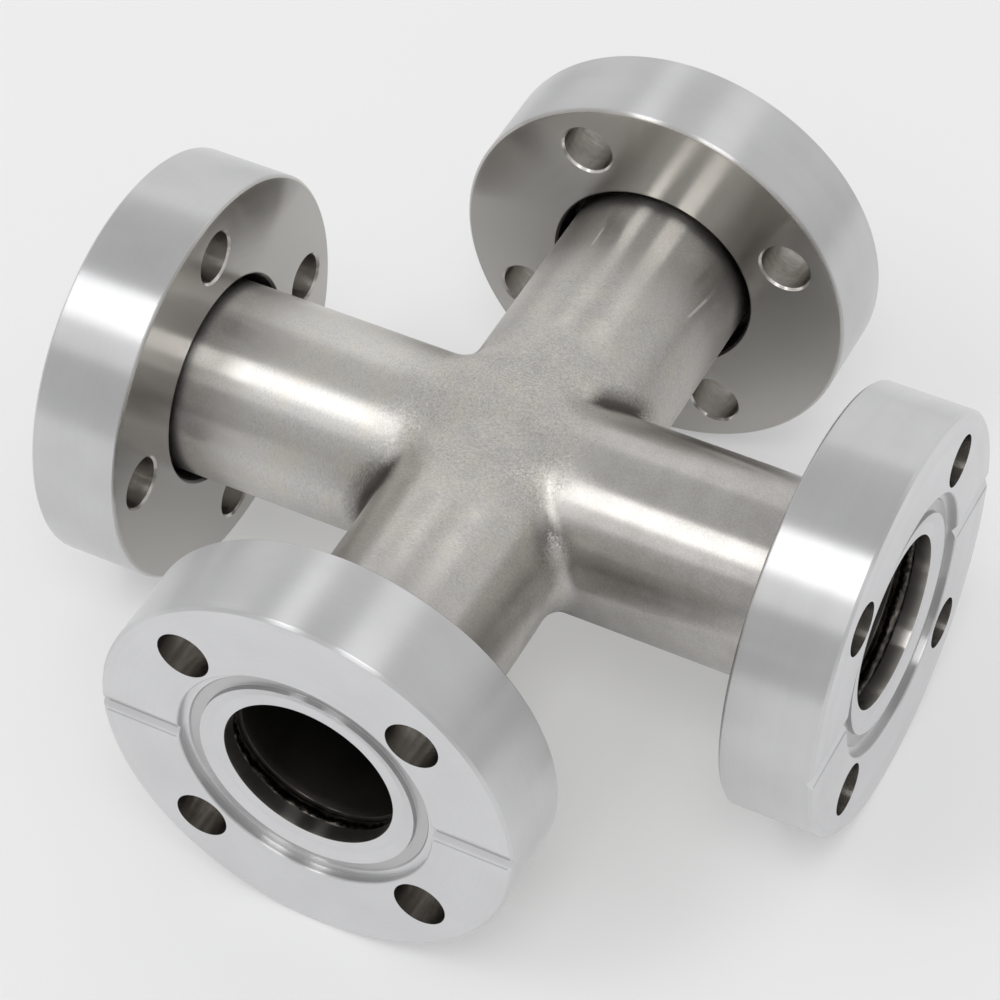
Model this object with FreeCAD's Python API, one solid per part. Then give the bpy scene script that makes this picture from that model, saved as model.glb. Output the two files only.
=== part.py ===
import FreeCAD, Part
import math
import os

V = FreeCAD.Vector

# A four-way vacuum cross, in millimetres. Four tube arms leave one body along +X, +Y, -X and -Y,
# and each arm ends in a round bolted flange with a metal-sealing knife edge.
# The origin is where the tube axes cross, and +Z is the side that the cross shows when it lies
# flat on its flange rims. The flanges at +X and -Y are welded on. The bolt rings of the flanges
# at -X and +Y turn about their arms.

# Tube body
tube_diameter = 25.4
tube_wall = 1.65
crotch_radius = 3.0
face_to_centre = 52.3

# Flange, measured outwards from the passage
sealing_land_width = 2.9
gasket_seat_width = 2.7
seat_to_bolt_hole = 0.65
bolt_hole_diameter = 6.7
bolt_hole_to_rim = 2.9
bolt_count = 4
flange_thickness = 11.9
rim_chamfer = 0.4
hole_chamfer = 0.28
seat_edge_break = 0.15

# Knife edge and gasket seat, as depths below the sealing face
knife_depth = 0.66
knife_inner_slope_deg = 20.0
knife_foot_width = 0.12
knife_tip_width = 0.04
land_depth = 1.15
shelf_depth = 1.10
shelf_width = 0.95
shelf_step_width = 0.2
seat_floor_depth = 1.35

# Leak-check grooves, cut from the gasket seat out to the rim
leak_groove_width = 2.6
leak_groove_depth = 0.75

# Weld between the throat of the flange and the end of the tube
throat_length = 2.15
weld_gap = 2.0
weld_root_height = 1.1
weld_crown_height = 1.35
socket_clearance = 0.1
socket_mouth_chamfer = 0.4

# Turning flanges: an insert with the knife edge, a bolt ring and a retaining wire
ring_step_width = 0.35
running_clearance = 0.1
insert_rim_thickness = 3.1
hub_wall = 0.75
hub_length = 3.2
hub_clearance = 0.2
ring_mouth_chamfer = 0.3
wire_diameter = 1.0
wire_seat_depth = 0.35
wire_clearance = 0.03
wire_groove_play = 0.15
wire_gap_deg = 14.0

# How far each turning bolt ring stands from the position of the welded flanges
left_ring_turn_deg = -44.0
back_ring_turn_deg = 17.8

# Sizes that follow from the ones above
tube_radius = tube_diameter / 2
passage_radius = tube_radius - tube_wall
knife_radius = passage_radius + sealing_land_width
seat_radius = knife_radius + gasket_seat_width
bolt_hole_radius = bolt_hole_diameter / 2
bolt_circle_radius = seat_radius + seat_to_bolt_hole + bolt_hole_radius
rim_radius = bolt_circle_radius + bolt_hole_radius + bolt_hole_to_rim
knife_inner_width = (land_depth - knife_depth) / math.tan(math.radians(knife_inner_slope_deg))
throat_end = land_depth + throat_length
tube_end = throat_end + weld_gap
socket_radius = tube_radius + socket_clearance
insert_seat_radius = seat_radius - ring_step_width
insert_rim_radius = insert_seat_radius - running_clearance
insert_rim_back = shelf_depth + insert_rim_thickness
ring_shoulder = insert_rim_back + running_clearance
hub_radius = socket_radius + hub_wall
hub_end = insert_rim_back + hub_length
ring_bore_radius = hub_radius + hub_clearance
wire_radius = wire_diameter / 2
wire_path_radius = hub_radius - wire_seat_depth + wire_clearance + wire_radius
wire_depth = insert_rim_back + hub_length / 2

# Port name and the angle of its arm about +Z, from +X
port_angles = {"right": 0.0, "back": 90.0, "left": 180.0, "front": 270.0}
ring_turns = {"left": left_ring_turn_deg, "back": back_ring_turn_deg}


def on_arm(depth, radius):
    """Point of a turned profile on the +X arm, at a depth below its sealing face."""
    return V(face_to_centre - depth, 0, radius)


def turned(points):
    """Solid turned about the +X arm from a closed outline of depths and radii."""
    outline = [on_arm(depth, radius) for depth, radius in points]
    face = Part.Face(Part.makePolygon(outline + outline[:1]))
    return face.revolve(V(0, 0, 0), V(1, 0, 0), 360)


def turned_about_arm(shape, angle_deg):
    """Copy of a shape on the +X arm, turned about the arm."""
    copy = shape.copy()
    copy.rotate(V(0, 0, 0), V(1, 0, 0), angle_deg)
    return copy


def on_port(shape, port):
    """Copy of a shape on the +X arm, carried round to its own arm."""
    copy = shape.copy()
    copy.rotate(V(0, 0, 0), V(0, 0, 1), port_angles[port])
    return copy


def crossing_pipes(radius, arm_length, blend_radius):
    """Two equal round bars that cross, with the four crotches between them blended."""
    along_x = Part.makeCylinder(radius, 2 * arm_length, V(-arm_length, 0, 0), V(1, 0, 0))
    along_y = Part.makeCylinder(radius, 2 * arm_length, V(0, -arm_length, 0), V(0, 1, 0))
    bars = along_x.fuse(along_y).removeSplitter()
    crotches = [edge for edge in bars.Edges if abs(edge.CenterOfMass.x) < arm_length / 2
                and abs(edge.CenterOfMass.y) < arm_length / 2 and edge.BoundBox.XLength < 3 * radius
                and edge.BoundBox.XLength > radius / 2 and edge.BoundBox.YLength > radius / 2]
    return bars.makeFillet(blend_radius, crotches)


def cross_tube():
    """The one-piece body: four arms of tube of even wall, drawn out of one another."""
    arm_length = face_to_centre - tube_end
    outside = crossing_pipes(tube_radius, arm_length, crotch_radius)
    inside = crossing_pipes(passage_radius, arm_length, crotch_radius + tube_wall)
    return outside.cut(inside)


def knife_edge_outline():
    """Outline from the gasket seat's floor over the knife edge to the end of the throat."""
    return [
        (shelf_depth, seat_radius - shelf_width),
        (seat_floor_depth, seat_radius - shelf_width - shelf_step_width),
        (seat_floor_depth, knife_radius + knife_foot_width),
        (knife_depth, knife_radius + knife_tip_width),
        (knife_depth, knife_radius),
        (land_depth, knife_radius - knife_inner_width),
        (land_depth, passage_radius),
        (throat_end, passage_radius),
        (throat_end, socket_radius),
    ]


def rim_outline():
    """Outline from the sealing face round the rim to the back face."""
    return [
        (0, rim_radius - rim_chamfer),
        (rim_chamfer, rim_radius),
        (flange_thickness - rim_chamfer, rim_radius),
        (flange_thickness, rim_radius - rim_chamfer),
    ]


def bolt_holes():
    """Through holes on the bolt circle, midway between the leak-check grooves, broken at the back."""
    back = face_to_centre - flange_thickness
    hole = Part.makeCylinder(bolt_hole_radius, flange_thickness, V(back, 0, 0), V(1, 0, 0))
    mouth = Part.makeCone(bolt_hole_radius + hole_chamfer, bolt_hole_radius, hole_chamfer,
                          V(back, 0, 0), V(1, 0, 0))
    tool = hole.fuse(mouth)
    tool.translate(V(0, bolt_circle_radius, 0))
    step = 360.0 / bolt_count
    return [turned_about_arm(tool, step * (index + 0.5)) for index in range(bolt_count)]


def leak_grooves():
    """Two opposite V grooves that let a test gas reach the outside of the gasket."""
    half = leak_groove_width / 2
    start = seat_radius - seat_edge_break - shelf_width / 2
    corners = [V(face_to_centre, start, -half), V(face_to_centre, start, half),
               V(face_to_centre - leak_groove_depth, start, 0)]
    notch = Part.Face(Part.makePolygon(corners + corners[:1]))
    groove = notch.extrude(V(0, rim_radius - start, 0))
    return [groove, turned_about_arm(groove, 180)]


def welded_flange():
    """One-piece flange for a fixed port, with the tube's socket in its back."""
    outline = [(seat_edge_break, seat_radius), (shelf_depth, seat_radius)]
    outline += knife_edge_outline()
    outline += [
        (flange_thickness - socket_mouth_chamfer, socket_radius),
        (flange_thickness, socket_radius + socket_mouth_chamfer),
    ]
    outline += rim_outline()[::-1]
    outline += [(0, seat_radius + seat_edge_break)]
    return turned(outline).cut(bolt_holes() + leak_grooves())


def knife_insert():
    """Insert of a turning port: knife edge in front, rim that the ring pulls on, hub behind."""
    insert = turned([(shelf_depth, insert_rim_radius)] + knife_edge_outline() + [
        (hub_end, socket_radius),
        (hub_end, hub_radius),
        (insert_rim_back, hub_radius),
        (insert_rim_back, insert_rim_radius),
    ])
    groove = turned([
        (wire_depth - wire_radius, hub_radius - wire_seat_depth),
        (wire_depth + wire_radius, hub_radius - wire_seat_depth),
        (wire_depth + wire_radius, ring_bore_radius),
        (wire_depth - wire_radius, ring_bore_radius),
    ])
    return insert.cut(groove)


def bolt_ring():
    """Turning ring: bolt holes and gasket seat in front, a shoulder that catches the insert's rim."""
    ring = turned([
        (seat_edge_break, seat_radius),
        (shelf_depth, seat_radius),
        (shelf_depth, insert_seat_radius),
        (ring_shoulder, insert_seat_radius),
        (ring_shoulder, ring_bore_radius),
        (flange_thickness - ring_mouth_chamfer, ring_bore_radius),
        (flange_thickness, ring_bore_radius + ring_mouth_chamfer),
    ] + rim_outline()[::-1] + [(0, seat_radius + seat_edge_break)])
    half = wire_radius + wire_groove_play
    groove_radius = wire_path_radius + half
    groove = turned([
        (wire_depth - half, hub_radius),
        (wire_depth + half, hub_radius),
        (wire_depth + half, groove_radius),
        (wire_depth - half, groove_radius),
    ])
    return ring.cut([groove] + bolt_holes() + leak_grooves())


def retaining_wire():
    """Split ring of round wire that keeps the bolt ring from sliding back along the tube."""
    centre = on_arm(wire_depth, wire_path_radius)
    section = Part.Face(Part.Wire(Part.makeCircle(wire_radius, centre, V(0, 1, 0))))
    return section.revolve(V(0, 0, 0), V(1, 0, 0), 360 - wire_gap_deg)


def weld_bead():
    """Ring of weld metal between the flange's throat and the end of the tube."""
    root = socket_radius
    front = [on_arm(throat_end, root), on_arm(throat_end, root - weld_root_height)]
    rear = [on_arm(tube_end, root - weld_root_height), on_arm(tube_end, root)]
    crown = on_arm((throat_end + tube_end) / 2, root - weld_crown_height)
    edges = [
        Part.makeLine(front[0], front[1]),
        Part.Arc(front[1], crown, rear[0]).toShape(),
        Part.makeLine(rear[0], rear[1]),
        Part.makeLine(rear[1], front[0]),
    ]
    return Part.Face(Part.Wire(edges)).revolve(V(0, 0, 0), V(1, 0, 0), 360)


pieces = {"cross_tube": cross_tube()}
for port in port_angles:
    pieces["weld_" + port] = on_port(weld_bead(), port)
    if port in ring_turns:
        pieces["insert_" + port] = on_port(knife_insert(), port)
        pieces["retainer_" + port] = on_port(retaining_wire(), port)
        pieces["ring_" + port] = on_port(turned_about_arm(bolt_ring(), ring_turns[port]), port)
    else:
        pieces["flange_" + port] = on_port(welded_flange(), port)

os.makedirs("parts", exist_ok=True)
for name, shape in pieces.items():
    solid = shape.Solids[0]
    solid.exportStep("parts/" + name + ".step")
    print(name, "solids", len(shape.Solids), "valid", solid.isValid(), "mm3", round(solid.Volume, 1))
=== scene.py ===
import math
import bmesh
import bpy
from mathutils import Matrix, Vector


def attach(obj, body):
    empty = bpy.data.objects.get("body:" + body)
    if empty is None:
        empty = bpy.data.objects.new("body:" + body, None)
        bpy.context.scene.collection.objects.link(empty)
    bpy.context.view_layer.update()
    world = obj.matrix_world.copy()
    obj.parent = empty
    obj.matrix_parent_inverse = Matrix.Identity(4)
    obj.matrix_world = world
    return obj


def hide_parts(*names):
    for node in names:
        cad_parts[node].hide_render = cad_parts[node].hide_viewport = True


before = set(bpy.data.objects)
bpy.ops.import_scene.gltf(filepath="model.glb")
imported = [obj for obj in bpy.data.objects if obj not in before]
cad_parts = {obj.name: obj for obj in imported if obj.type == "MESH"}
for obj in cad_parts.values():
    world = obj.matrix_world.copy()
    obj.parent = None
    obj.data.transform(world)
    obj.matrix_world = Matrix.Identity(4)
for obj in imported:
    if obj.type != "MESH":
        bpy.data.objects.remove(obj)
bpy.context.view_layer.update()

mm = 0.001


# Camera
# The cross is looked down on from the front right with a long lens, so that the front and right
# ports are seen into and the backs of the other two flanges show between the arms.
camera_place = Vector((141.75, -269.85, 327.26)) * mm
camera_aim = Vector((0.21, -3.22, 0.0)) * mm
camera_roll = math.radians(-1.14)
camera_data = bpy.data.cameras.new("camera")
camera_data.sensor_width = 36.0
camera_data.lens = 130.9
camera_data.clip_start = 0.01
camera = bpy.data.objects.new("camera", camera_data)
bpy.context.scene.collection.objects.link(camera)
camera_turn = (camera_aim - camera_place).to_track_quat("-Z", "Y").to_matrix().to_4x4()
camera_tilt = Matrix.Rotation(camera_roll, 4, "Z")
camera.matrix_world = Matrix.Translation(camera_place) @ camera_turn @ camera_tilt
bpy.context.scene.camera = camera


# Table and lights
# A plain pale table under the flange rims, two bright soft lamps above and in front, and dimmer
# panels in front, behind and beside, whose reflections draw the bands on the metal.
table_height = -26.9 * mm
table_reach = 4.0
table_lift = 0.26
darkest_reach = 10.8 * mm
shaded_reach = 36 * mm
room_brightness = 0.58
lamp_distance = 1.2


def node(tree, kind, values=None, **settings):
    """New node with its settings, and with its sockets set or linked by name or place."""
    made = tree.nodes.new(kind)
    for key, value in settings.items():
        setattr(made, key, value)
    for key, value in (values or {}).items():
        if isinstance(value, bpy.types.NodeSocket):
            tree.links.new(value, made.inputs[key])
        else:
            made.inputs[key].default_value = value
    return made


def calc(tree, operation, *terms):
    """Math node with its terms, as a socket."""
    return node(tree, "ShaderNodeMath", dict(enumerate(terms)), operation=operation).outputs[0]


def total(tree, first, *others):
    """Sum, as a socket."""
    for other in others:
        first = calc(tree, "ADD", first, other)
    return first


def product(tree, first, *others):
    """Product, as a socket."""
    for other in others:
        first = calc(tree, "MULTIPLY", first, other)
    return first


def vector_calc(tree, operation, *terms, **named):
    """Vector math node with its terms, as the socket of its result."""
    made = node(tree, "ShaderNodeVectorMath", {**dict(enumerate(terms)), **named}, operation=operation)
    return made.outputs["Value" if operation in ("LENGTH", "DOT_PRODUCT") else "Vector"]


def own_place(tree):
    """Place in the object's own directions, as a socket."""
    return node(tree, "ShaderNodeTexCoord").outputs["Object"]


def span(tree, value, low, high, to_low, to_high):
    """Value moved from one range to another, as a socket."""
    return node(tree, "ShaderNodeMapRange", {
        "Value": value, "From Min": low, "From Max": high, "To Min": to_low, "To Max": to_high,
    }).outputs[0]


def link_object(name, data):
    made = bpy.data.objects.new(name, data)
    bpy.context.scene.collection.objects.link(made)
    return made


def pale_table():
    """Matt pale top. The camera sees it a little brighter than it is lit, and so does the metal,
    but for the shaded part between the arms, where the lift is left out for the metal: a painted shadow
    in its reflections."""
    material = bpy.data.materials.new("pale_table")
    material.use_nodes = True
    tree = material.node_tree
    shader = tree.nodes["Principled BSDF"]
    shader.inputs["Base Color"].default_value = (0.67, 0.67, 0.67, 1.0)
    shader.inputs["Roughness"].default_value = 0.8
    shader.inputs["Emission Color"].default_value = (1.0, 1.0, 1.0, 1.0)
    seen = node(tree, "ShaderNodeLightPath").outputs
    away = vector_calc(tree, "MULTIPLY", own_place(tree), (1.0, 1.0, 0.0))
    # Painted shadow in the metal's reflections: glossy rays see the table lifted only away from its
    # middle.
    open_part = span(tree, vector_calc(tree, "LENGTH", away), darkest_reach, shaded_reach, 0.0, 1.0)
    in_gloss = product(tree, seen["Is Glossy Ray"], open_part)
    lift = product(tree, calc(tree, "MAXIMUM", seen["Is Camera Ray"], in_gloss), table_lift)
    tree.links.new(lift, shader.inputs["Emission Strength"])
    return material


table_mesh = bpy.data.meshes.new("table")
table_mesh.from_pydata([(x * table_reach, y * table_reach, table_height)
                        for x, y in ((-1, -1), (1, -1), (1, 1), (-1, 1))], [], [(0, 1, 2, 3)])
table_mesh.materials.append(pale_table())
table = link_object("table", table_mesh)

world = bpy.data.worlds.new("room")
world.use_nodes = True
background = world.node_tree.nodes["Background"]
background.inputs["Color"].default_value = (1.0, 1.0, 1.0, 1.0)
background.inputs["Strength"].default_value = room_brightness
bpy.context.scene.world = world


def soft_panel(name, sideways_deg, forward_deg, width_deg, height_deg, brightness):
    """Soft lamp that faces the object. It stands that far round from overhead, to the right and to
    the front, fills that much of the view, and its surface has that brightness."""
    sideways = math.tan(math.radians(sideways_deg))
    forward = math.tan(math.radians(forward_deg))
    back = Vector((sideways, -forward, 1.0)).normalized()
    upward = back.cross(Vector((0.0, -1.0, 0.0)).cross(back)).normalized()
    across = upward.cross(back)
    data = bpy.data.lights.new(name, "AREA")
    data.shape = "RECTANGLE"
    data.size = 2 * lamp_distance * math.tan(math.radians(width_deg / 2))
    data.size_y = 2 * lamp_distance * math.tan(math.radians(height_deg / 2))
    data.energy = brightness * math.pi * data.size * data.size_y
    lamp = link_object(name, data)
    lamp_turn = Matrix((across, upward, back)).transposed().to_4x4()
    lamp.matrix_world = Matrix.Translation(back * lamp_distance) @ lamp_turn
    lamp.visible_camera = False


soft_panel("left_lamp", -25.5, 25.0, 12.0, 22.0, 4.1)
soft_panel("right_lamp", 13.0, 25.0, 18.0, 22.0, 3.8)
soft_panel("front_panel", 0.0, 45.0, 80.0, 18.0, 0.45)
soft_panel("rear_wall", 0.0, -64.0, 110.0, 50.0, 0.28)
soft_panel("side_wall", -66.0, -10.0, 40.0, 80.0, 0.12)


# Tube body
# The real body is one piece of stainless tube. Its four arms are drawn out of one another, the
# crotches between them are blended, and the skin is brushed by hand and polished at the flanges.
tube_radius = 12.7 * mm
passage_radius = 11.05 * mm
tube_wall = tube_radius - passage_radius
crotch_radius = 3.0 * mm
crown_reach = (8.0 * mm, 12.0 * mm, 12.0 * mm, 10.0 * mm)
widest_blend = 45.0 * mm
tube_reach = 47.0 * mm
end_round = 0.15 * mm
end_corner = 0.3 * end_round
straight_reach = tube_reach - end_round
around = 256
crotch_steps = 14
arm_steps = 30


def blend_at(angle, blend, crown):
    """Radius of the blend at an angle from the crown. The arm's round part starts at the crown's
    reach at the least, so the blend is wide near the crown and tight in the crotch."""
    down = max(abs(math.sin(angle)), 1e-3)
    wanted = min(max(crown / down - tube_radius, 0.0), widest_blend)
    return (wanted ** 4 + blend ** 4) ** 0.25


def crossing_tube_skin(radius, blend, crowns, reach_out):
    """Vertices and faces of two equal crossing tubes, with a ball rolled along each crotch.
    crowns has how far out the blend reaches near the crown, for the crotches in turn from the
    one between the right and back arms."""
    vertices = []
    faces = []
    half = around // 2

    def add(rows):
        start = len(vertices)
        width = len(rows[0])
        for line in rows:
            vertices.extend(line)
        for i in range(len(rows) - 1):
            for j in range(width - 1):
                a = start + i * width + j
                faces.append((a, a + 1, a + width + 1, a + width))

    for quarter in range(4):
        turn = Matrix.Rotation(quarter * math.pi / 2, 3, "Z")
        rows = []
        for i in range(around + 1):
            angle = 2 * math.pi * i / around
            side = math.sin(angle)
            top = math.cos(angle)
            crown = crowns[quarter - 1 if side > 0 else quarter]
            first = (radius + blend_at(min(angle, 2 * math.pi - angle), blend, crown)) * abs(side)
            line = []
            for k in range(arm_steps + 1):
                x = first + (reach_out - first) * k / arm_steps
                line.append(turn @ Vector((x, -radius * side, radius * top)))
            rows.append(line)
        add(rows)
        rows = []
        for i in range(half + 1):
            angle = math.pi * i / half
            side = math.sin(angle)
            top = math.cos(angle)
            ball = blend_at(angle, blend, crowns[quarter])
            centre = Vector(((radius + ball) * side, (radius + ball) * side, (radius + ball) * top))
            to_x_arm = Vector((0, -side, -top))
            to_y_arm = Vector((-side, 0, -top))
            opening = to_x_arm.angle(to_y_arm, 0.0)
            line = []
            for k in range(crotch_steps + 1):
                share = k / crotch_steps
                if opening < 1e-6:
                    direction = to_x_arm
                else:
                    direction = (to_x_arm * math.sin((1 - share) * opening)
                                 + to_y_arm * math.sin(share * opening)) / math.sin(opening)
                line.append(turn @ (centre + direction * ball))
            rows.append(line)
        add([line[::-1] for line in rows])
    return vertices, faces


def merged_mesh(name, vertices, faces, second_skin, sharp_angle):
    """Mesh with its doubles merged, its faces turned outwards and its sharp edges marked. The
    faces numbered in second_skin take the second material."""
    mesh = bpy.data.meshes.new(name)
    mesh.from_pydata(vertices, [], faces)
    for number in second_skin:
        mesh.polygons[number].material_index = 1
    work = bmesh.new()
    work.from_mesh(mesh)
    bmesh.ops.remove_doubles(work, verts=work.verts, dist=1e-6)
    bmesh.ops.dissolve_degenerate(work, edges=work.edges, dist=1e-7)
    bmesh.ops.recalc_face_normals(work, faces=work.faces)
    for face in work.faces:
        face.smooth = True
    for edge in work.edges:
        edge.smooth = edge.is_manifold and edge.calc_face_angle(0.0) < sharp_angle
    work.to_mesh(mesh)
    work.free()
    return mesh


def tube_end_skin():
    """Vertices and faces of the four ring-shaped ends of the tube, with their edges rounded."""
    profile = [
        (straight_reach, tube_radius), (tube_reach - end_corner, tube_radius - end_corner),
        (tube_reach, tube_radius - end_round), (tube_reach, passage_radius + end_round),
        (tube_reach - end_corner, passage_radius + end_corner), (straight_reach, passage_radius),
    ]
    width = len(profile)
    vertices = []
    faces = []
    for quarter in range(4):
        turn = Matrix.Rotation(quarter * math.pi / 2, 3, "Z")
        start = len(vertices)
        for i in range(around + 1):
            angle = 2 * math.pi * i / around
            for x, radius in profile:
                vertices.append(turn @ Vector((x, -radius * math.sin(angle), radius * math.cos(angle))))
        for i in range(around):
            for j in range(width - 1):
                a = start + i * width + j
                faces.append((a, a + 1, a + 1 + width, a + width))
    return vertices, faces


outside = crossing_tube_skin(tube_radius, crotch_radius, crown_reach, straight_reach)
inside = crossing_tube_skin(passage_radius, crotch_radius + tube_wall, crown_reach, straight_reach)
body_points = []
body_faces = []
for points, faces in (outside, inside, tube_end_skin()):
    body_faces += [tuple(number + len(body_points) for number in face) for face in faces]
    body_points += points
inside_numbers = range(len(outside[1]), len(outside[1]) + len(inside[1]))
body_mesh = merged_mesh("tube_body", body_points, body_faces, inside_numbers, math.radians(40))
tube_body = link_object("tube_body", body_mesh)


def new_tree(name, kind, inputs, outputs):
    """Empty node tree with its named sockets: the tree, what it is given and its output node."""
    kinds = {"float": "Float", "int": "Int", "vector": "Vector", "material": "Material",
             "mesh": "Geometry"}
    tree = bpy.data.node_groups.new(name, kind)
    for label, sort, value in inputs:
        socket = tree.interface.new_socket(label, in_out="INPUT", socket_type="NodeSocket" + kinds[sort])
        if value is not None:
            socket.default_value = value
    for label, sort in outputs:
        tree.interface.new_socket(label, in_out="OUTPUT", socket_type="NodeSocket" + kinds[sort])
    return tree, tree.nodes.new("NodeGroupInput").outputs, tree.nodes.new("NodeGroupOutput")


def worked_skin_group():
    """Skin of worked metal: fine grain, soft patches, and marks that are short in the direction in
    which Mark Stretch is large. All sizes are in millimetres."""
    group, given, result = new_tree("worked_skin", "ShaderNodeTree", [
        ("Place", "vector", None), ("Grain Size", "float", 0.25), ("Patch Size", "float", 4.0),
        ("Mark Stretch", "vector", (1.0, 1.0, 1.0)), ("Mark Size", "float", 0.3),
    ], [("Grain", "float"), ("Patches", "float"), ("Marks", "float")])
    scaled = vector_calc(group, "SCALE", given["Place"], Scale=1 / mm)
    stretched = vector_calc(group, "MULTIPLY", scaled, given["Mark Stretch"])
    for label, size, place, detail, roughness in (
            ("Grain", "Grain Size", scaled, 3.0, 0.6),
            ("Patches", "Patch Size", scaled, 2.0, 0.5),
            ("Marks", "Mark Size", stretched, 2.0, 0.7)):
        noise = node(group, "ShaderNodeTexNoise", {
            "Vector": place, "Scale": calc(group, "DIVIDE", 1.0, given[size]),
            "Detail": detail, "Roughness": roughness})
        group.links.new(noise.outputs["Fac"], result.inputs[label])
    return group


worked_skin = worked_skin_group()
noise_low = 0.3
noise_high = 0.7


def spread(tree, noise, low, high):
    """Noise moved to a range that most of it fills, as a socket."""
    return span(tree, noise, noise_low, noise_high, low, high)


def split(tree, vector):
    """X, Y and Z of a vector, as sockets."""
    return node(tree, "ShaderNodeSeparateXYZ", {0: vector}).outputs


def vector_of(tree, **parts):
    """Vector with the given X, Y or Z, as a socket."""
    return node(tree, "ShaderNodeCombineXYZ", parts).outputs[0]


def between(tree, value, low, high, soft):
    """One between two values and zero outside them, with soft sides, as a socket."""
    return product(tree, span(tree, value, low, low + soft, 0.0, 1.0),
                   span(tree, value, high - soft, high, 1.0, 0.0))


def steel(name, anisotropy, axis=None):
    """Metal material with its shader. An axis gives the turning direction that the gloss follows."""
    material = bpy.data.materials.new(name)
    material.use_nodes = True
    tree = material.node_tree
    shader = tree.nodes["Principled BSDF"]
    shader.inputs["Metallic"].default_value = 1.0
    shader.inputs["Anisotropic"].default_value = anisotropy
    if axis:
        shader.inputs["Anisotropic Rotation"].default_value = 0.25
        tangent = node(tree, "ShaderNodeTangent", direction_type="RADIAL", axis=axis)
        tree.links.new(tangent.outputs[0], shader.inputs["Tangent"])
    return material, tree, shader


def coat(tree, shader, colour, roughness):
    """Gives a surface its colour and roughness."""
    tree.links.new(colour, shader.inputs["Base Color"])
    tree.links.new(roughness, shader.inputs["Roughness"])


def mixed(tree, factor, dark, light):
    """Colour between two, as a socket."""
    made = node(tree, "ShaderNodeMix", data_type="RGBA")
    for place, value in ((0, factor), (6, dark), (7, light)):
        if isinstance(value, bpy.types.NodeSocket):
            tree.links.new(value, made.inputs[place])
        else:
            made.inputs[place].default_value = value
    return made.outputs[2]


def across_axis(tree, axis):
    """Direction round a turned or drilled surface: across both its axis and its own normal."""
    normal = node(tree, "ShaderNodeNewGeometry").outputs["Normal"]
    return vector_calc(tree, "CROSS_PRODUCT", normal, axis)


cool_matt = (0.775, 0.775, 0.765, 1)
warm_matt = (0.795, 0.768, 0.718, 1)
dark_matt = (0.52, 0.495, 0.455, 1)
pale_polish = (0.62, 0.605, 0.585, 1)
dark_polish = (0.50, 0.48, 0.455, 1)
scratch_colour = (0.95, 0.94, 0.92, 1)
# Colour of the painted shade in the crotches and on the tube's ends inside the flanges.
painted_shade_colour = (0.07, 0.062, 0.055, 1)
polish_start = 25 * mm
polish_end = 32 * mm
polish_gloss = 0.277
# Painted shade on the tube's ends, where they sit inside the flanges.
socket_painted_shade_start = 46.5 * mm
socket_painted_shade_end = 46.7 * mm


def spot_on_cross(tree):
    """Sockets that say where a spot lies: its place and its parts, how far along its arm and aside
    it is, how much it belongs to the left or right arm, and the direction of its arm."""
    place = own_place(tree)
    part = split(tree, vector_calc(tree, "ABSOLUTE", place))
    on_x = span(tree, calc(tree, "SUBTRACT", part["X"], part["Y"]), -1.5 * mm, 1.5 * mm, 0.0, 1.0)
    signed = split(tree, place)
    return {
        "place": place, "x": signed["X"], "y": signed["Y"], "z": signed["Z"],
        "along": calc(tree, "MAXIMUM", part["X"], part["Y"]),
        "aside": calc(tree, "MINIMUM", part["X"], part["Y"]),
        "on_x": on_x, "arm_axis": vector_of(tree, X=on_x, Y=calc(tree, "SUBTRACT", 1.0, on_x)),
    }


def polished_part(tree, spot, skin):
    """How polished a spot is. The polish starts at a ragged border, which lies nearer the middle on
    the right arm and farther out on the left one."""
    ragged = total(tree, spread(tree, skin["Patches"], -3 * mm, 3 * mm),
                   spread(tree, skin["Marks"], -1.5 * mm, 1.5 * mm),
                   spread(tree, skin["Grain"], -1.0 * mm, 1.0 * mm))
    earlier = product(tree, spot["on_x"], span(tree, spot["x"], -2 * mm, 2 * mm, -4 * mm, 17 * mm))
    return span(tree, total(tree, spot["along"], ragged, earlier), polish_start, polish_end, 0.0, 1.0)


def painted_crotch_shade(tree, spot, skin):
    """Painted shade in each crotch, below the crown, with frayed sides. It is darker and longer in
    the right/back and left/front crotches, and starts nearer the crown in the first."""
    same_side = product(tree, spot["x"], spot["y"])
    least = calc(tree, "MINIMUM", spot["x"], spot["y"])
    depth = span(tree, same_side, 0.0, 20 * mm * mm, 0.65, 0.9)
    start = span(tree, least, 0.0, 4 * mm, 9.3 * mm, 6.6 * mm)
    length = span(tree, same_side, 0.0, 20 * mm * mm, 2.6 * mm, 6.0 * mm)
    past_start = calc(tree, "SUBTRACT", total(
        tree, spot["aside"], spread(tree, skin["Grain"], -0.5 * mm, 0.5 * mm)), start)
    off_crease = total(tree, calc(tree, "SUBTRACT", spot["along"], spot["aside"]),
                       spread(tree, skin["Marks"], -0.5 * mm, 0.5 * mm))
    in_crease = span(tree, off_crease, 1.0 * mm, 4.2 * mm, 1.0, 0.0)
    begun = span(tree, past_start, 0.0, 1.4 * mm, 0.0, 1.0)
    to_go = calc(tree, "DIVIDE", calc(tree, "SUBTRACT", length, past_start), 1.2 * mm)
    not_over = calc(tree, "MINIMUM", calc(tree, "MAXIMUM", to_go, 0.0), 1.0)
    return product(tree, in_crease, depth, begun, not_over)


def scratch(tree, spot, across, slant, low, high):
    """Thin light scratch on top of the back arm. It runs from low to high along the arm, at a
    distance across it that grows with the slant."""
    line = total(tree, product(tree, spot["y"], slant), across)
    off_line = calc(tree, "ABSOLUTE", calc(tree, "SUBTRACT", spot["x"], line))
    on_top = calc(tree, "GREATER_THAN", spot["z"], 0.0)
    return product(tree, between(tree, spot["y"], low, high, 0.8 * mm), on_top,
                   span(tree, off_line, 0.04 * mm, 0.16 * mm, 0.8, 0.0))


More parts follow.
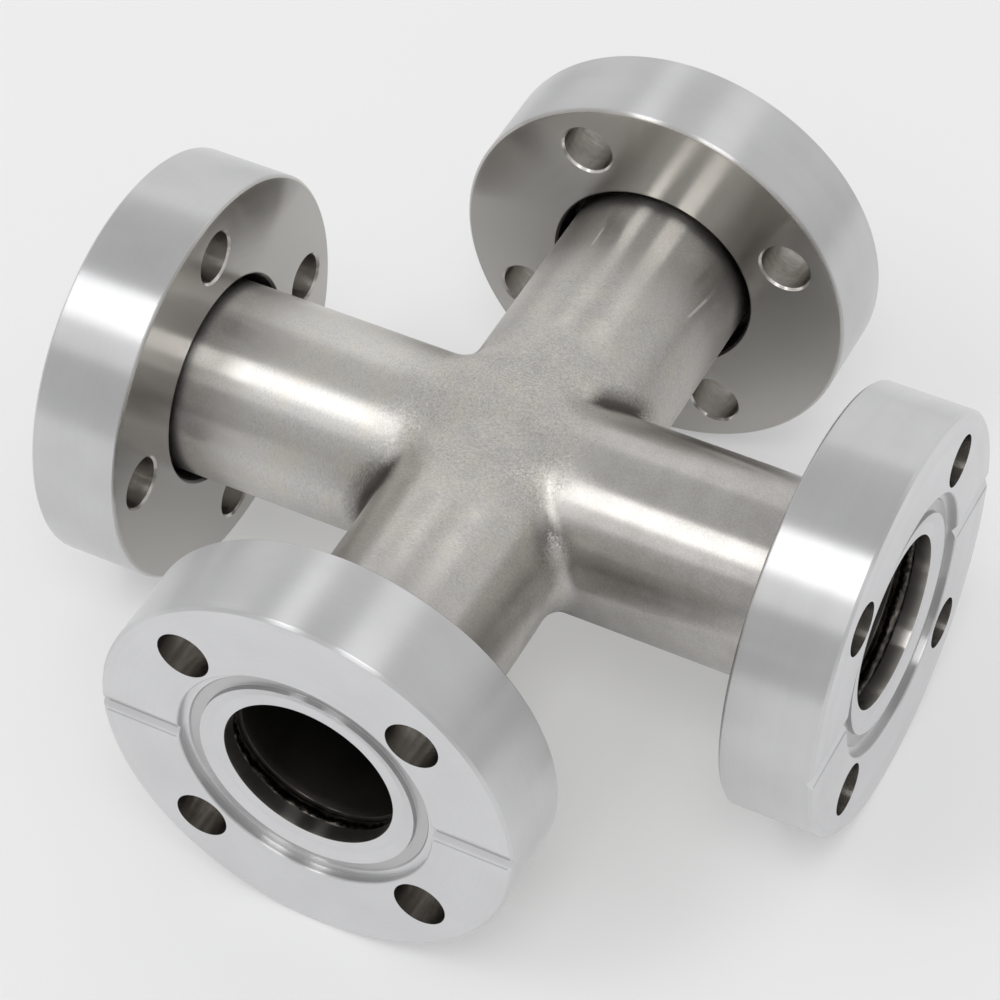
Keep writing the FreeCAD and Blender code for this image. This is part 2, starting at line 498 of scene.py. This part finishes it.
def brushed_steel():
    """Hand-brushed skin: matt and mottled in the middle, polished next to the flanges, with painted shade
    in the crotches and at the tube's ends.
    """
    material, tree, shader = steel("brushed_steel", 0.93)
    spot = spot_on_cross(tree)
    stretch = vector_calc(tree, "MULTIPLY_ADD", spot["arm_axis"], (3.2, 3.2, 3.2), (0.8, 0.8, 0.8))
    skin = node(tree, "ShaderNodeGroup", {
        "Place": spot["place"], "Grain Size": 0.25, "Patch Size": 3.5, "Mark Stretch": stretch,
        "Mark Size": 0.45}, node_tree=worked_skin).outputs
    middle = span(tree, spot["along"], 9 * mm, 17 * mm, 1.0, 0.0)
    polished = polished_part(tree, spot, skin)
    grain = product(tree, spread(tree, skin["Grain"], -0.25, 0.25), total(tree, middle, 1.0))
    tone = total(tree, grain, spread(tree, skin["Patches"], 0.35, 0.65),
                 spread(tree, skin["Marks"], -0.3, 0.3),
                 span(tree, spot["x"], -20 * mm, -8 * mm, 0.35, 0.0))
    warmth = span(tree, skin["Patches"], 0.35, 0.65, 0.0, 1.0)
    matt = mixed(tree, tone, dark_matt, mixed(tree, warmth, cool_matt, warm_matt))
    fine = total(tree, spread(tree, skin["Patches"], 0.2, 0.8),
                 spread(tree, skin["Marks"], -0.12, 0.12), spread(tree, skin["Grain"], -0.5, 0.5))
    clean = mixed(tree, polished, matt, mixed(tree, fine, dark_polish, pale_polish))
    scratched = calc(tree, "MAXIMUM", scratch(tree, spot, -4.2 * mm, 0.0, 30.7 * mm, 35.0 * mm),
                     scratch(tree, spot, 7.44 * mm, 0.1, 28.6 * mm, 33.9 * mm))
    # Painted shade: dark pockets in the crotches, and near black on the tube's ends inside the flanges.
    shade = calc(tree, "MAXIMUM", painted_crotch_shade(tree, spot, skin),
                 span(tree, spot["along"], socket_painted_shade_start, socket_painted_shade_end, 0.0, 0.9))
    matt_gloss = total(tree, spread(tree, skin["Patches"], 0.36, 0.40), product(tree, middle, 0.08))
    smoother = product(tree, calc(tree, "SUBTRACT", matt_gloss, polish_gloss), polished)
    coat(tree, shader, mixed(tree, shade, mixed(tree, scratched, clean, scratch_colour), painted_shade_colour),
         calc(tree, "SUBTRACT", matt_gloss, smoother))
    bump = node(tree, "ShaderNodeBump", {"Strength": 0.2, "Distance": 0.01 * mm, "Height": skin["Marks"]})
    tree.links.new(bump.outputs[0], shader.inputs["Normal"])
    speck = node(tree, "ShaderNodeTexNoise", {"Vector": spot["place"], "Scale": 7000.0, "Detail": 1.0})
    stray = vector_calc(tree, "SUBTRACT", speck.outputs["Color"], (0.5, 0.5, 0.5))
    strayed = vector_calc(tree, "SCALE", stray, Scale=product(tree, middle, 8.0))
    brushed = vector_calc(tree, "ADD", across_axis(tree, spot["arm_axis"]), strayed)
    tree.links.new(vector_calc(tree, "NORMALIZE", brushed), shader.inputs["Tangent"])
    shader.inputs["Anisotropic Rotation"].default_value = 0.25
    return material


def passage_steel():
    """Dull skin inside the tube, painted nearly black as the shade inside the closed tube."""
    material, tree, shader = steel("passage_steel", 0.0)
    skin = node(tree, "ShaderNodeGroup", {
        "Place": own_place(tree), "Grain Size": 0.3, "Patch Size": 6.0}, node_tree=worked_skin).outputs
    # Painted shade: the passage colours are near black.
    coat(tree, shader, mixed(tree, skin["Patches"], (0.05, 0.047, 0.043, 1), (0.10, 0.095, 0.088, 1)),
         spread(tree, skin["Grain"], 0.45, 0.6))
    return material


body_mesh.materials.append(brushed_steel())
body_mesh.materials.append(passage_steel())
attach(tube_body, "body")
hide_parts("cross_tube")


# Welded flanges, at the front and right ports
# Each is one thick disc of stainless steel, turned all over, with four drilled and reamed bolt
# holes, a knife edge in a stepped seat, and two V grooves for leak checks. It is welded inside.
face_reach = 52.3 * mm
flange_depth = 11.9
rim_radius = 26.9
rim_chamfer = 0.4
seat_radius = 16.65
seat_break = 0.15
seat_depth = 1.10
shelf_radius = 15.70
floor_radius = 15.50
floor_depth = 1.35
knife_radius = 13.95
knife_depth = 0.66
knife_tip = 0.04
knife_foot = 0.12
land_radius = 12.604
land_depth = 1.15
throat_radius = 11.05
throat_depth = 3.30
socket_radius = 12.80
socket_chamfer = 0.4
recess_depth = 4.0
hole_radius = 3.35
hole_circle = 20.65
hole_chamfer = 0.28
groove_width = 2.6
groove_depth = 0.75
groove_start = 16.0
groove_end = 30.0
corner_steps = 3
turned_segments = 288
hole_segments = 96
sharp_edge_deg = 32


def rounded_outline(points):
    """Closed outline with each corner rounded, from points of (depth, radius, rounding)."""
    made = []
    count = len(points)
    for i in range(count):
        corner = Vector(points[i][:2])
        back = Vector(points[i - 1][:2]) - corner
        ahead = Vector(points[(i + 1) % count][:2]) - corner
        turn = math.pi - back.angle(ahead)
        trim = min(points[i][2] * math.tan(turn / 2), back.length * 0.45, ahead.length * 0.45)
        if trim < 1e-4:
            made.append(corner)
            continue
        first = corner + back.normalized() * trim
        last = corner + ahead.normalized() * trim
        for k in range(corner_steps + 1):
            share = k / corner_steps
            made.append(first * (1 - share) ** 2 + corner * 2 * share * (1 - share) + last * share ** 2)
    return made


def outline_object(name, outline):
    """Outline in depths and radii in millimetres, as a chain of points on the +X arm in metres."""
    mesh = bpy.data.meshes.new(name)
    points = [(face_reach - depth * mm, 0.0, radius * mm) for depth, radius in outline]
    points.append(points[0])
    mesh.from_pydata(points, [(i, i + 1) for i in range(len(points) - 1)], [])
    return link_object(name, mesh)


def geometry_tree(name, inputs):
    """Empty geometry tree with an outline in, a piece out, and named inputs for its sizes."""
    return new_tree(name, "GeometryNodeTree", [("Outline", "mesh", None)] + inputs, [("Piece", "mesh")])


def spun(tree, outline, segments):
    """The outline turned about the arm, as a closed mesh."""
    size = node(tree, "GeometryNodeAttributeDomainSize", {"Geometry": outline}).outputs["Point Count"]
    grid = node(tree, "GeometryNodeMeshGrid", {
        "Vertices X": total(tree, segments, 1.0), "Vertices Y": size})
    index = node(tree, "GeometryNodeInputIndex").outputs[0]
    row = calc(tree, "FLOOR", calc(tree, "DIVIDE", total(tree, index, 0.5), size))
    column = calc(tree, "SUBTRACT", index, product(tree, row, size))
    angle = product(tree, row, calc(tree, "DIVIDE", 2 * math.pi, segments))
    place = node(tree, "GeometryNodeInputPosition").outputs[0]
    sample = node(tree, "GeometryNodeSampleIndex", {
        "Geometry": outline, "Value": place, "Index": column}, data_type="FLOAT_VECTOR")
    turned = node(tree, "ShaderNodeVectorRotate", {
        "Vector": sample.outputs[0], "Axis": (1.0, 0.0, 0.0), "Angle": angle})
    moved = node(tree, "GeometryNodeSetPosition", {
        "Geometry": grid.outputs["Mesh"], "Position": turned.outputs[0]})
    return node(tree, "GeometryNodeMergeByDistance", {
        "Geometry": moved.outputs[0], "Distance": 1e-7}).outputs[0]


def past(tree, value, limit):
    """Choice of where a value is past a limit."""
    return node(tree, "FunctionNodeCompare", {0: value, 1: limit},
                data_type="FLOAT", operation="GREATER_THAN").outputs[0]


def with_edges(tree, geometry, limit_deg):
    """Smooth faces, with every edge past the limit left sharp."""
    smooth = node(tree, "GeometryNodeSetShadeSmooth", {
        "Geometry": geometry, "Shade Smooth": True}, domain="FACE")
    angle = node(tree, "GeometryNodeInputMeshEdgeAngle").outputs["Unsigned Angle"]
    return node(tree, "GeometryNodeSetShadeSmooth", {
        "Geometry": smooth.outputs[0], "Selection": past(tree, angle, math.radians(limit_deg)),
        "Shade Smooth": False}, domain="EDGE").outputs[0]


def placed(tree, geometry, **values):
    """Geometry scaled, turned and moved by the values, as a socket."""
    return node(tree, "GeometryNodeTransform", {"Geometry": geometry, **values}).outputs[0]


def coated(tree, geometry, material, chosen=True):
    """Geometry whose chosen faces have the material, as a socket."""
    return node(tree, "GeometryNodeSetMaterial", {
        "Geometry": geometry, "Selection": chosen, "Material": material}).outputs[0]


def finished(tree, geometry, material, result, chosen=True):
    """Ends a tree in Realize Instances and Set Material, which can be for chosen faces only."""
    real = node(tree, "GeometryNodeRealizeInstances", {"Geometry": geometry})
    tree.links.new(coated(tree, real.outputs[0], material, chosen), result.inputs[0])


def facing_front(tree):
    """Choice of the faces that look out of the port."""
    return past(tree, split(tree, node(tree, "GeometryNodeInputNormal").outputs[0])["X"], 0.9)


def turned_tree():
    """A part turned from its outline, with its front faces faced."""
    tree, given, result = geometry_tree("turned_part", [
        ("Segments", "int", turned_segments), ("Steel", "material", None),
        ("Faced Steel", "material", None)])
    body = coated(tree, spun(tree, given["Outline"], given["Segments"]), given["Steel"])
    edged = with_edges(tree, body, sharp_edge_deg)
    finished(tree, edged, given["Faced Steel"], result, facing_front(tree))
    return tree


def drilled_tree():
    """A turned disc with its bolt holes drilled on a circle and its leak-check grooves cut."""
    tree, given, result = geometry_tree("turned_and_drilled_part", [
        ("Segments", "int", turned_segments), ("Hole Radius", "float", hole_radius * mm),
        ("Hole Circle", "float", hole_circle * mm), ("Hole Count", "int", 4), ("Turn", "float", 0.0),
        ("Face", "float", face_reach), ("Thickness", "float", flange_depth * mm),
        ("Back Chamfer", "float", hole_chamfer * mm), ("Groove Width", "float", groove_width * mm),
        ("Groove Depth", "float", groove_depth * mm), ("Groove Start", "float", groove_start * mm),
        ("Groove End", "float", groove_end * mm), ("Steel", "material", None),
        ("Hole Steel", "material", None), ("Faced Steel", "material", None),
    ])
    thick = given["Thickness"]
    face = given["Face"]
    upright = (0.0, math.pi / 2, 0.0)

    def on_circle(cutter, along):
        """The cutter at each bolt hole's place."""
        ring = node(tree, "GeometryNodeMeshCircle", {
            "Vertices": given["Hole Count"], "Radius": given["Hole Circle"]})
        first_turn = calc(tree, "DIVIDE", math.pi, given["Hole Count"])
        spaced = placed(tree, ring.outputs[0], Rotation=vector_of(tree, Z=first_turn))
        put = node(tree, "GeometryNodeInstanceOnPoints", {
            "Points": placed(tree, spaced, Rotation=upright), "Instance": cutter, "Rotation": upright})
        moved = placed(tree, put.outputs[0], Translation=vector_of(tree, X=along),
                       Rotation=vector_of(tree, X=given["Turn"]))
        real = node(tree, "GeometryNodeRealizeInstances", {"Geometry": moved})
        return coated(tree, real.outputs[0], given["Hole Steel"])

    drill = node(tree, "GeometryNodeMeshCylinder", {
        "Vertices": hole_segments, "Radius": given["Hole Radius"], "Depth": product(tree, thick, 1.4)})
    chamfer = given["Back Chamfer"]
    twice = product(tree, chamfer, 2.0)
    sink = node(tree, "GeometryNodeMeshCone", {
        "Vertices": hole_segments, "Radius Top": given["Hole Radius"],
        "Radius Bottom": total(tree, given["Hole Radius"], twice), "Depth": twice})
    sunk = placed(tree, sink.outputs[0], Translation=vector_of(tree, Z=product(tree, chamfer, -1.0)))
    cutters = [
        on_circle(drill.outputs["Mesh"], calc(tree, "SUBTRACT", face, calc(tree, "DIVIDE", thick, 2.0))),
        on_circle(sunk, calc(tree, "SUBTRACT", face, thick)),
    ]
    vee = node(tree, "GeometryNodeMeshCylinder", {"Vertices": 3, "Radius": 1.0, "Depth": 1.0})
    tip_up = placed(tree, vee.outputs["Mesh"], Translation=(1.0, 0.0, 0.0), Rotation=(0.0, 0.0, math.pi))
    # The vee is scaled to twice the groove's depth and width, so that it stands out of the face.
    sized = placed(tree, tip_up, Scale=vector_of(
        tree, X=product(tree, given["Groove Depth"], 2 / 1.5),
        Y=product(tree, given["Groove Width"], 2 / math.sqrt(3)),
        Z=calc(tree, "SUBTRACT", given["Groove End"], given["Groove Start"])))
    laid = placed(tree, sized, Rotation=(-math.pi / 2, 0.0, 0.0))
    groove = placed(tree, laid, Translation=vector_of(
        tree, X=calc(tree, "SUBTRACT", face, given["Groove Depth"]),
        Y=calc(tree, "DIVIDE", total(tree, given["Groove End"], given["Groove Start"]), 2.0)))
    for half_turn in (0.0, math.pi):
        turned = placed(tree, groove, Rotation=vector_of(tree, X=total(tree, given["Turn"], half_turn)))
        cutters.append(coated(tree, turned, given["Faced Steel"]))
    cut = coated(tree, spun(tree, given["Outline"], given["Segments"]), given["Steel"])
    for cutter in cutters:
        cut = node(tree, "GeometryNodeMeshBoolean", {
            "Mesh 1": cut, "Mesh 2": cutter}, operation="DIFFERENCE", solver="EXACT").outputs["Mesh"]
    edged = with_edges(tree, cut, sharp_edge_deg)
    finished(tree, edged, given["Faced Steel"], result, facing_front(tree))
    return tree


def made_by(tree, source, name, values, arm_turn):
    """Plain mesh that a tree makes from an outline, carried round to its arm."""
    modifier = source.modifiers.new("make", "NODES")
    modifier.node_group = tree
    for socket in tree.interface.items_tree:
        if socket.in_out == "INPUT" and socket.name in values:
            modifier[socket.identifier] = values[socket.name]
    evaluated = source.evaluated_get(bpy.context.evaluated_depsgraph_get())
    mesh = bpy.data.meshes.new_from_object(evaluated)
    source.modifiers.remove(modifier)
    bpy.data.objects.remove(source)
    mesh.name = name
    mesh.transform(Matrix.Rotation(arm_turn, 4, "Z"))
    return link_object(name, mesh)


def turning_lines_group():
    """Fine lines that a lathe tool leaves round an axis, with soft bands and handling marks. Below is
    the depth under the sealing face and Away the distance from the axis, in millimetres."""
    group, given, result = new_tree("turning_lines", "ShaderNodeTree", [
        ("Place", "vector", None), ("Axis", "vector", (1.0, 0.0, 0.0)), ("Pitch", "float", 0.12),
    ], [(label, "float") for label in ("Lines", "Bands", "Handling", "Below", "Away")])
    scaled = vector_calc(group, "SCALE", given["Place"], Scale=1 / mm)
    along = vector_calc(group, "DOT_PRODUCT", scaled, given["Axis"])
    away = vector_calc(group, "LENGTH", vector_calc(group, "CROSS_PRODUCT", scaled, given["Axis"]))
    pair = vector_of(group, X=along, Y=away)
    fineness = calc(group, "DIVIDE", 1.0, given["Pitch"])
    for label, values in (
            ("Lines", {"Vector": pair, "Scale": fineness, "Detail": 2.0, "Roughness": 0.6}),
            ("Bands", {"Vector": pair, "Scale": 0.7, "Detail": 2.0}),
            ("Handling", {"Vector": scaled, "Scale": 0.12, "Detail": 4.0})):
        noise = node(group, "ShaderNodeTexNoise", values)
        group.links.new(noise.outputs["Fac"], result.inputs[label])
    below = calc(group, "SUBTRACT", face_reach / mm, calc(group, "ABSOLUTE", along))
    group.links.new(below, result.inputs["Below"])
    group.links.new(away, result.inputs["Away"])
    return group


turning_lines = turning_lines_group()
axis_vectors = {"X": (1.0, 0.0, 0.0), "Y": (0.0, 1.0, 0.0)}
line_pitch = 0.45
# Grey of the painted shade in the gasket seats and along the leak-check grooves.
painted_shade_grey = (0.30, 0.295, 0.29, 1)


def lathe_lines(tree, axis):
    """The turning lines of a part on an arm, as sockets."""
    return node(tree, "ShaderNodeGroup", {
        "Place": own_place(tree), "Axis": axis_vectors[axis], "Pitch": line_pitch},
        node_tree=turning_lines).outputs


def turned_steel(axis):
    """Bright turned stainless steel, whose gloss spreads across the lathe lines. It is duller on
    the back of the flange and in the throat, with painted shade, grey in the gasket seat and dark in the
    hub's recess."""
    material, tree, shader = steel("turned_steel_" + axis.lower(), 1.0, axis)
    lines = lathe_lines(tree, axis)
    below = lines["Below"]
    away = lines["Away"]
    tone = total(tree, spread(tree, lines["Lines"], -0.07, 0.07),
                 spread(tree, lines["Handling"], 0.25, 0.75))
    bright = mixed(tree, tone, (0.65, 0.65, 0.655, 1), (0.75, 0.752, 0.76, 1))
    behind = span(tree, below, flange_depth - 0.35, flange_depth - 0.15, 0.0, 1.0)
    # Painted shade: near black deep in the hub's recess.
    in_recess = product(tree, span(tree, below, recess_depth - 0.1, recess_depth + 0.1, 0.0, 1.0),
                        span(tree, away, knife_radius + 0.05, knife_radius + 0.25, 1.0, 0.0))
    in_throat = span(tree, away, throat_radius + 0.25, throat_radius + 0.45, 1.0, 0.0)
    # Painted shade on the walls of the gasket seat.
    in_seat = product(tree, between(tree, away, knife_radius - 0.05, seat_radius + 0.15, 0.1),
                      between(tree, below, seat_break + 0.1, floor_depth + 0.15, 0.1), 0.45)
    duller = mixed(tree, behind, bright, (0.53, 0.515, 0.49, 1))
    deeper = mixed(tree, in_throat, duller, (0.62, 0.595, 0.56, 1))
    shaded = mixed(tree, in_seat, deeper, painted_shade_grey)
    on_rim = span(tree, away, rim_radius - 0.9, rim_radius - 0.6, 0.0, 0.05)
    gloss = total(tree, spread(tree, lines["Bands"], 0.28, 0.305), on_rim,
                  product(tree, in_throat, -0.1), product(tree, behind, -0.12))
    coat(tree, shader, mixed(tree, in_recess, shaded, (0.06, 0.055, 0.05, 1)), gloss)
    return material


def faced_steel(axis):
    """Satin sealing side of a flange, faced so finely that its gloss spreads evenly. It has painted
    shade on the floor of the gasket seat, and along the edges and the bottom of the leak-check grooves."""
    material, tree, shader = steel("faced_steel_" + axis.lower(), 0.0)
    lines = lathe_lines(tree, axis)
    below = lines["Below"]
    away = lines["Away"]
    tone = total(tree, spread(tree, lines["Lines"], -0.1, 0.1),
                 spread(tree, lines["Handling"], 0.25, 0.75))
    clean = mixed(tree, tone, (0.68, 0.68, 0.69, 1), (0.76, 0.762, 0.775, 1))
    # Painted shade along the edges and the bottom of the leak-check grooves, and on the seat floor.
    groove_lines = calc(tree, "MAXIMUM", between(tree, below, 0.02, 0.14, 0.03),
                        between(tree, below, 0.62, 0.9, 0.05))
    in_groove = between(tree, away, seat_radius + 0.25, rim_radius - 0.6, 0.1)
    on_floor = product(tree, between(tree, away, knife_radius - 0.05, floor_radius + 0.1, 0.1),
                       between(tree, below, floor_depth - 0.15, floor_depth + 0.15, 0.1))
    painted_shade_share = calc(tree, "MAXIMUM", product(tree, groove_lines, in_groove, 0.5),
                product(tree, on_floor, 0.35))
    coat(tree, shader, mixed(tree, painted_shade_share, clean, painted_shade_grey), spread(tree, lines["Bands"], 0.34, 0.40))
    return material


def reamed_steel(axis):
    """Drilled and reamed hole walls, whose marks run round the hole. They are duller towards the
    sealing face."""
    material, tree, shader = steel("reamed_steel_" + axis.lower(), 0.9)
    place = own_place(tree)
    along = split(tree, vector_calc(tree, "ABSOLUTE", place))[axis]
    stretch = (5.0, 0.4, 0.4) if axis == "X" else (0.4, 5.0, 0.4)
    skin = node(tree, "ShaderNodeGroup", {
        "Place": place, "Grain Size": 0.15, "Patch Size": 2.5, "Mark Stretch": stretch, "Mark Size": 0.9,
    }, node_tree=worked_skin).outputs
    tone = total(tree, spread(tree, skin["Patches"], 0.2, 0.8), spread(tree, skin["Marks"], -0.3, 0.3),
                 span(tree, along, 41 * mm, 50 * mm, 0.45, -0.55))
    coat(tree, shader, mixed(tree, tone, (0.38, 0.36, 0.335, 1), (0.72, 0.70, 0.67, 1)),
         spread(tree, skin["Grain"], 0.20, 0.26))
    tree.links.new(across_axis(tree, axis_vectors[axis]), shader.inputs["Tangent"])
    shader.inputs["Anisotropic Rotation"].default_value = 0.25
    return material


turned_steels = {"X": turned_steel("X"), "Y": turned_steel("Y")}
faced_steels = {"X": faced_steel("X"), "Y": faced_steel("Y")}
hole_steels = {"X": reamed_steel("X"), "Y": reamed_steel("Y")}
turned_part = turned_tree()
drilled_part = drilled_tree()

arm_turns = {"right": 0.0, "back": math.pi / 2, "left": math.pi, "front": 1.5 * math.pi}
arm_axes = {"right": "X", "back": "Y", "left": "X", "front": "Y"}

knife_edge = [
    (seat_depth, shelf_radius, 0.05), (floor_depth, floor_radius, 0.05),
    (floor_depth, knife_radius + knife_foot, 0.1), (knife_depth, knife_radius + knife_tip, 0.02),
    (knife_depth, knife_radius, 0.02), (land_depth, land_radius, 0.1), (land_depth, throat_radius, 0.08),
    (throat_depth, throat_radius, 0.08), (throat_depth, socket_radius, 0.02),
]
rim_outline = [
    (flange_depth, rim_radius - rim_chamfer, 0.2), (flange_depth - rim_chamfer, rim_radius, 0.2),
    (rim_chamfer, rim_radius, 0.2), (0.0, rim_radius - rim_chamfer, 0.2),
]
seat_mouth = [(0.0, seat_radius + seat_break, 0.05), (seat_break, seat_radius, 0.05)]


def turned_piece(tree, name, outline, port, turn=0.0):
    """Piece that a tree turns from an outline, at its port, with its holes at the given turn."""
    axis = arm_axes[port]
    return made_by(tree, outline_object("outline", rounded_outline(outline)), name + port, {
        "Segments": turned_segments, "Turn": turn, "Steel": turned_steels[axis],
        "Hole Steel": hole_steels[axis], "Faced Steel": faced_steels[axis]}, arm_turns[port])


for port in ("front", "right"):
    flange = turned_piece(drilled_part, "welded_flange_", seat_mouth + [
        (seat_depth, seat_radius, 0.08)] + knife_edge + [
        (flange_depth - socket_chamfer, socket_radius, 0.02),
        (flange_depth, socket_radius + socket_chamfer, 0.1)] + rim_outline, port)
    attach(flange, "body")
    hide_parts("flange_" + port)


# Inserts of the turning flanges, at the left and back ports
# Each is a thin turned collar of stainless steel that carries the knife edge. It is welded to
# the tube, and its rim holds the bolt ring, which turns on its hub.
insert_radius = 16.2
insert_back = 4.2
hub_radius = 13.55
hub_end = 7.4
wire_depth = 5.8
wire_radius = 0.5
groove_floor = 13.2
for port in ("left", "back"):
    insert = turned_piece(turned_part, "knife_insert_", [
        (seat_depth, insert_radius, 0.1)] + knife_edge + [
        (hub_end, socket_radius, 0.05), (hub_end, hub_radius, 0.05),
        (wire_depth + wire_radius, hub_radius, 0.02), (wire_depth + wire_radius, groove_floor, 0.02),
        (wire_depth - wire_radius, groove_floor, 0.02), (wire_depth - wire_radius, hub_radius, 0.02),
        (insert_back, hub_radius, 0.05), (insert_back, insert_radius, 0.1)], port)
    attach(insert, "body")
    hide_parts("insert_" + port)


# Bolt rings of the turning flanges
# Each is a thick turned ring of stainless steel with the same bolt holes and grooves as the
# welded flanges. It turns freely on the insert, so its holes stand where it was left.
ring_turns = {"left": math.radians(-44.0), "back": math.radians(17.8)}
ring_step_radius = 16.3
shoulder_depth = 4.3
bore_radius = 13.75
wire_play = 0.15
ring_groove_radius = 14.38
mouth_chamfer = 0.3
groove_front = wire_depth - wire_radius - wire_play
groove_back = wire_depth + wire_radius + wire_play
for port in ("left", "back"):
    ring = turned_piece(drilled_part, "bolt_ring_", seat_mouth + [
        (seat_depth, seat_radius, 0.05), (seat_depth, ring_step_radius, 0.05),
        (shoulder_depth, ring_step_radius, 0.05), (shoulder_depth, bore_radius, 0.05),
        (groove_front, bore_radius, 0.02), (groove_front, ring_groove_radius, 0.02),
        (groove_back, ring_groove_radius, 0.02), (groove_back, bore_radius, 0.02),
        (flange_depth - mouth_chamfer, bore_radius, 0.05),
        (flange_depth, bore_radius + mouth_chamfer, 0.08)] + rim_outline, port, ring_turns[port])
    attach(ring, "ring_" + port)
    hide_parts("ring_" + port)


# Retaining wires
# A split ring of spring wire snaps into the groove in the insert's hub and keeps the bolt ring
# from sliding back along the tube. It is hidden between the two.
def spring_wire():
    """Drawn spring steel, smooth and a little mottled."""
    material, tree, shader = steel("spring_wire", 0.0)
    skin = node(tree, "ShaderNodeGroup", {"Place": own_place(tree)}, node_tree=worked_skin).outputs
    coat(tree, shader, mixed(tree, skin["Patches"], (0.42, 0.41, 0.40, 1), (0.56, 0.55, 0.54, 1)),
         spread(tree, skin["Grain"], 0.2, 0.3))
    return material


wire_steel = spring_wire()
wire_circle = 13.73
wire_gap = math.radians(14.0)
wire_steps = 160
wire_segments = 20


def bent_wire_tree():
    """Round wire bent to an open circle about the arm, with flat ends."""
    tree, given, result = geometry_tree("bent_wire", [
        ("Wire Radius", "float", None), ("Circle Radius", "float", None), ("Gap", "float", None),
        ("Place", "float", None), ("Steel", "material", None)])
    sweep = calc(tree, "SUBTRACT", 2 * math.pi, given["Gap"])
    arc = node(tree, "GeometryNodeCurveArc", {
        "Resolution": wire_steps, "Radius": given["Circle Radius"], "Sweep Angle": sweep})
    section = node(tree, "GeometryNodeCurvePrimitiveCircle", {
        "Resolution": wire_segments, "Radius": given["Wire Radius"]})
    wire = node(tree, "GeometryNodeCurveToMesh", {
        "Curve": arc.outputs["Curve"], "Profile Curve": section.outputs["Curve"], "Fill Caps": True})
    stood = placed(tree, wire.outputs[0], Rotation=(0.0, math.pi / 2, 0.0))
    moved = placed(tree, stood, Translation=vector_of(tree, X=given["Place"]))
    finished(tree, with_edges(tree, moved, 40), given["Steel"], result)
    return tree


bent_wire = bent_wire_tree()
for port in ("left", "back"):
    carrier = outline_object("carrier", [(0, 0), (1, 0)])
    wire = made_by(bent_wire, carrier, "retaining_wire_" + port, {
        "Wire Radius": wire_radius * mm, "Circle Radius": wire_circle * mm, "Gap": wire_gap,
        "Place": face_reach - wire_depth * mm, "Steel": wire_steel}, arm_turns[port])
    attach(wire, "body")
    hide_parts("retainer_" + port)


# Weld beads
# A bead run inside each port joins the tube's end to the flange or insert. It is a narrow ring of
# melted steel with uneven ripples, darker than the turned throat in front of it, as weld metal and as
# painted shade inside the port.
def weld_metal():
    """Melted steel with an uneven gloss, dark as weld metal and darker still with painted shade."""
    material, tree, shader = steel("weld_metal", 0.0)
    skin = node(tree, "ShaderNodeGroup", {
        "Place": own_place(tree), "Grain Size": 0.3, "Patch Size": 1.2}, node_tree=worked_skin).outputs
    tone = spread(tree, skin["Patches"], 0.0, 1.0)
    # Dark weld metal, made darker with painted shade of the port's inside.
    coat(tree, shader, mixed(tree, tone, (0.03, 0.027, 0.024, 1), (0.16, 0.148, 0.134, 1)),
         spread(tree, skin["Grain"], 0.14, 0.26))
    bump = node(tree, "ShaderNodeBump", {"Strength": 0.5, "Distance": 0.1 * mm, "Height": skin["Grain"]})
    tree.links.new(bump.outputs[0], shader.inputs["Normal"])
    return material


def weld_bead_tree():
    """The bead's outline turned about the arm, with uneven ripples where it stands off its root."""
    tree, given, result = geometry_tree("weld_bead", [
        ("Segments", "int", None), ("Ripples", "float", None), ("Ripple Height", "float", None),
        ("Unevenness", "float", None), ("Seed", "float", None), ("Root", "float", None),
        ("Steel", "material", None)])
    place = node(tree, "GeometryNodeInputPosition").outputs[0]
    parts = split(tree, place)
    radius = vector_calc(tree, "LENGTH", vector_calc(tree, "CROSS_PRODUCT", place, (1.0, 0.0, 0.0)))
    angle = calc(tree, "ARCTAN2", parts["Y"], parts["Z"])
    uneven = node(tree, "ShaderNodeTexNoise", {
        "Vector": place, "W": given["Seed"], "Scale": 500.0, "Detail": 3.0}, noise_dimensions="4D")
    wobble = calc(tree, "SUBTRACT", uneven.outputs["Fac"], 0.5)
    turns = total(tree, product(tree, angle, given["Ripples"]), product(tree, wobble, 9.0))
    ripple = calc(tree, "SINE", turns)
    rise = total(tree, product(tree, ripple, given["Ripple Height"]),
                 product(tree, wobble, given["Unevenness"]))
    off_root = product(tree, calc(tree, "SUBTRACT", given["Root"], radius), 1 / mm)
    free = calc(tree, "MAXIMUM", calc(tree, "MINIMUM", off_root, 1.0), 0.0)
    share = product(tree, calc(tree, "DIVIDE", rise, radius), free)
    push = vector_calc(tree, "SCALE", vector_of(tree, Y=parts["Y"], Z=parts["Z"]), Scale=share)
    moved = node(tree, "GeometryNodeSetPosition", {
        "Geometry": spun(tree, given["Outline"], given["Segments"]), "Offset": push})
    finished(tree, with_edges(tree, moved.outputs[0], 60), given["Steel"], result)
    return tree


weld_steel = weld_metal()
weld_bead = weld_bead_tree()
bead_end = 5.30
bead_radius = 11.75
crown_step = 0.05
crown_height = 0.25
crown_points = 8
bead_segments = 480
ripple_count = 46.0
ripple_height = 0.025
unevenness = 0.45
bead_outline = [(throat_depth, socket_radius), (throat_depth, bead_radius)]
for step in range(1, crown_points):
    share = step / crown_points
    bead_outline.append((throat_depth + (bead_end - throat_depth) * share,
                         bead_radius - crown_step - crown_height * math.sin(math.pi * share)))
bead_outline += [(bead_end, bead_radius), (bead_end, socket_radius)]
for number, port in enumerate(("front", "right", "back", "left")):
    bead = made_by(weld_bead, outline_object("bead_outline", bead_outline), "weld_bead_" + port, {
        "Segments": bead_segments, "Ripples": ripple_count, "Ripple Height": ripple_height * mm,
        "Unevenness": unevenness * mm, "Seed": 1.7 * number, "Root": socket_radius * mm,
        "Steel": weld_steel}, arm_turns[port])
    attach(bead, "body")
    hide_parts("weld_" + port)


# Picture
# Colours are shown as they are written.
bpy.context.scene.view_settings.view_transform = "Standard"
